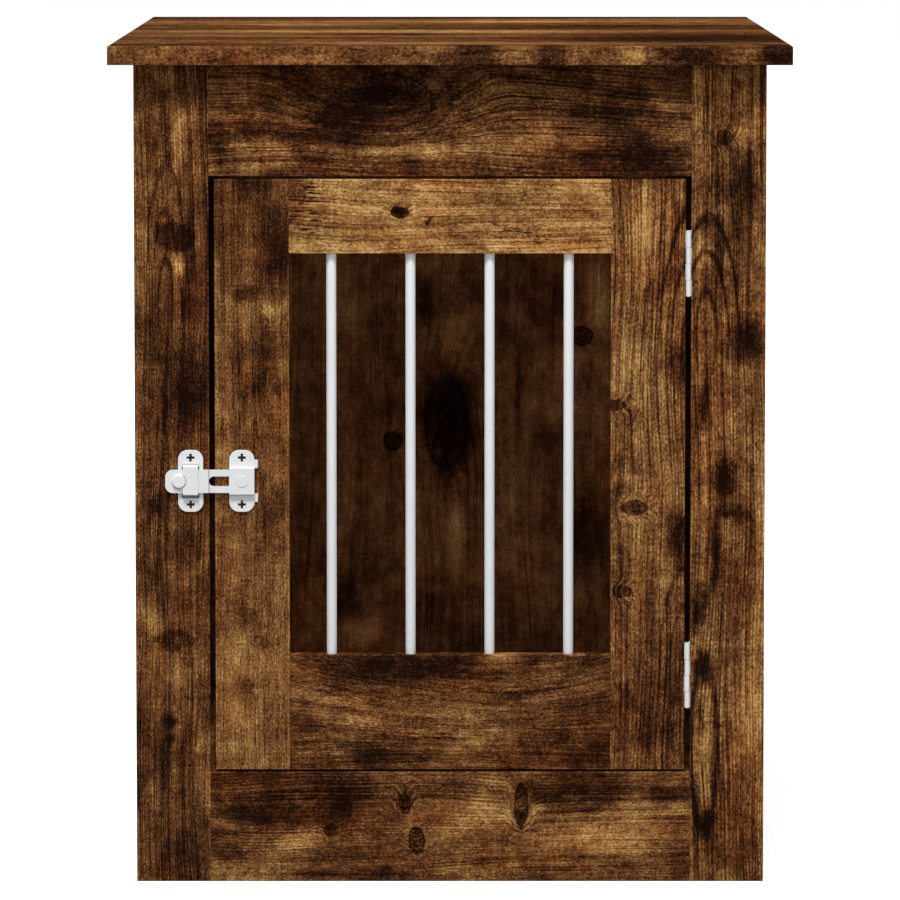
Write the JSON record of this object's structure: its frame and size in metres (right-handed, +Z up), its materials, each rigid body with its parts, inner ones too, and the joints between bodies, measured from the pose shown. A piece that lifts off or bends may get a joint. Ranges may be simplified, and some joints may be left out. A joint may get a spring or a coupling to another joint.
{
  "type": "pet crate",
  "caption": "Furniture-style pet crate: board cabinet with barred side windows, a slab top, and a barred door on butt hinges held by a slide latch.",
  "frame": {"origin": "on the ground under the middle of the top panel", "axes": "+X to the right seen from the door, +Y to the back, +Z up"},
  "size_m": [0.55, 0.8, 0.68],
  "materials": {
    "smoked_oak_board": "satin melamine",
    "bar_steel": "powder coat",
    "coated_hardware": "powder coat",
    "beech": "raw",
    "zinc": "zinc plated"
  },
  "bodies": {
    "cabinet": {"top_panel": "smoked_oak_board", "back_panel": "smoked_oak_board", "floor_panel": "smoked_oak_board", "front_left_stile": "smoked_oak_board", "front_right_stile": "smoked_oak_board", "front_top_rail": "smoked_oak_board", "front_bottom_rail": "smoked_oak_board", "left_front_stile": "smoked_oak_board", "left_rear_stile": "smoked_oak_board", "left_top_rail": "smoked_oak_board", "left_bottom_rail": "smoked_oak_board", "right_front_stile": "smoked_oak_board", "right_rear_stile": "smoked_oak_board", "right_top_rail": "smoked_oak_board", "right_bottom_rail": "smoked_oak_board", "left_bar_1": "bar_steel", "left_bar_2": "bar_steel", "left_bar_3": "bar_steel", "left_bar_4": "bar_steel", "left_bar_5": "bar_steel", "left_bar_6": "bar_steel", "left_bar_7": "bar_steel", "left_bar_8": "bar_steel", "left_bar_9": "bar_steel", "right_bar_1": "bar_steel", "right_bar_2": "bar_steel", "right_bar_3": "bar_steel", "right_bar_4": "bar_steel", "right_bar_5": "bar_steel", "right_bar_6": "bar_steel", "right_bar_7": "bar_steel", "right_bar_8": "bar_steel", "right_bar_9": "bar_steel", "dowels": "beech", "cam_discs": "zinc", "cam_bolts": "zinc", "upper_hinge_frame_leaf": "coated_hardware", "lower_hinge_frame_leaf": "coated_hardware", "upper_hinge_pin": "coated_hardware", "lower_hinge_pin": "coated_hardware", "frame_hinge_screws": "coated_hardware", "latch_base": "coated_hardware", "latch_base_screws": "coated_hardware"},
    "door": {"door_latch_stile": "smoked_oak_board", "door_hinge_stile": "smoked_oak_board", "door_top_rail": "smoked_oak_board", "door_bottom_rail": "smoked_oak_board", "door_bar_1": "bar_steel", "door_bar_2": "bar_steel", "door_bar_3": "bar_steel", "door_bar_4": "bar_steel", "door_dowels": "beech", "upper_hinge_door_leaf": "coated_hardware", "lower_hinge_door_leaf": "coated_hardware", "door_hinge_screws": "coated_hardware", "latch_keeper": "coated_hardware", "latch_keeper_screws": "coated_hardware"},
    "latch_bolt": {"latch_bolt": "coated_hardware", "latch_knob": "coated_hardware"}
  },
  "joints": [
    {"name": "door_hinge", "type": "hinge", "parent": "cabinet", "child": "door", "pos_m": [0.1926, -0.38, 0.33], "axis": [0, 0, 1], "range_deg": [0, 170]},
    {"name": "latch_slide", "type": "slide", "parent": "cabinet", "child": "latch_bolt", "axis": [-1, 0, 0], "range_m": [0, 0.018]}
  ]
}
